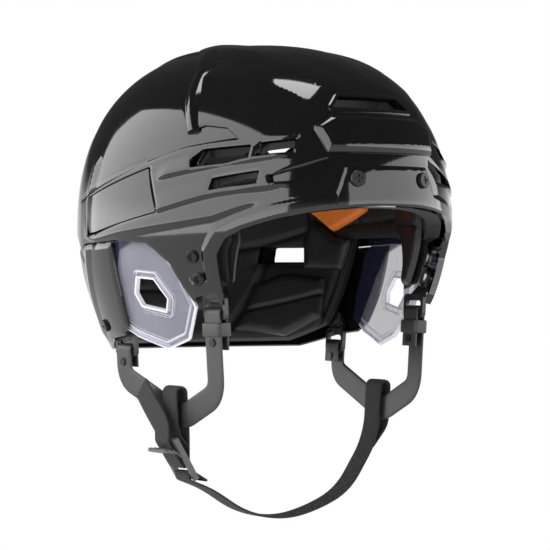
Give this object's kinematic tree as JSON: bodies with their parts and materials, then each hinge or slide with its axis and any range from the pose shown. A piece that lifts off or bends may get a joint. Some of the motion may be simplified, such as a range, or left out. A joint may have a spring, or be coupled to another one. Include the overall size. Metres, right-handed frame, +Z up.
{
  "type": "ice hockey helmet",
  "caption": "Two-part hard shell helmet with foam liner, clear ear guards, lock levers for length and a chin strap on ear loops.",
  "frame": {"origin": "middle of the widest level of the shell, at the centre of the head space", "axes": "+Z up to the crown, the face looks along -Y, the wearer's right is -X"},
  "size_m": [0.2098, 0.2658, 0.2901],
  "materials": {
    "shell": "polished black",
    "screw": "satin black",
    "steel": "plated",
    "guard": "clear with a faint violet tint",
    "foam": "moulded foam skin",
    "pad": "soft moulded foam",
    "pod": "soft orange foam",
    "hanger": "satin black",
    "strap": "satin dark grey",
    "webbing": "woven black",
    "buckle": "satin grey"
  },
  "bodies": {
    "front_half": {"front_shell": "shell", "brow_screws": "screw", "brow_nuts": "steel", "temple_screws": "screw", "temple_nuts": "steel", "hinge_pins": "steel", "ear_guard_right": "guard", "ear_guard_left": "guard", "front_liner": "foam", "forehead_pad": "pad", "front_crown_pad": "pad", "temple_pad_right": "pad", "temple_pad_left": "pad", "front_hanger_right": "hanger", "front_hanger_left": "hanger", "ear_loop_right": "strap", "ear_loop_left": "strap", "front_rivets": "screw"},
    "rear_half": {"rear_shell": "shell", "anchor_screws": "screw", "anchor_nuts": "steel", "rear_liner": "foam", "rear_crown_pad": "pad", "nape_pad": "pad", "side_pad_right": "pad", "side_pad_left": "pad", "occipital_pad_right": "pad", "occipital_pad_left": "pad", "impact_pod_right": "pod", "impact_pod_left": "pod", "rear_hanger_right": "hanger", "rear_hanger_left": "hanger", "rear_rivets": "screw"},
    "right_lever": {"lever_right": "shell"},
    "left_lever": {"lever_left": "shell"},
    "chin_strap": {"chin_webbing": "webbing", "adjuster_webbing": "webbing", "buckle": "buckle"}
  },
  "joints": [
    {"name": "length_adjust", "type": "slide", "parent": "front_half", "child": "rear_half", "axis": [0, 1, 0], "range_m": [0, 0.01], "deforming": ["ear_loop_right", "ear_loop_left"]},
    {"name": "lever_right_hinge", "type": "hinge", "parent": "front_half", "child": "right_lever", "pos_m": [-0.09522, -0.03202, 0.03396], "axis": [0.0208, 0.3401, 0.9402], "range_deg": [0, 30]},
    {"name": "lever_left_hinge", "type": "hinge", "parent": "front_half", "child": "left_lever", "pos_m": [0.09522, -0.03202, 0.03396], "axis": [0.0208, -0.3401, -0.9402], "range_deg": [0, 30]},
    {"name": "chin_swing", "type": "hinge", "parent": "front_half", "child": "chin_strap", "pos_m": [0, -0.022, -0.102], "axis": [1, 0, 0], "range_deg": [-28, 28]}
  ]
}
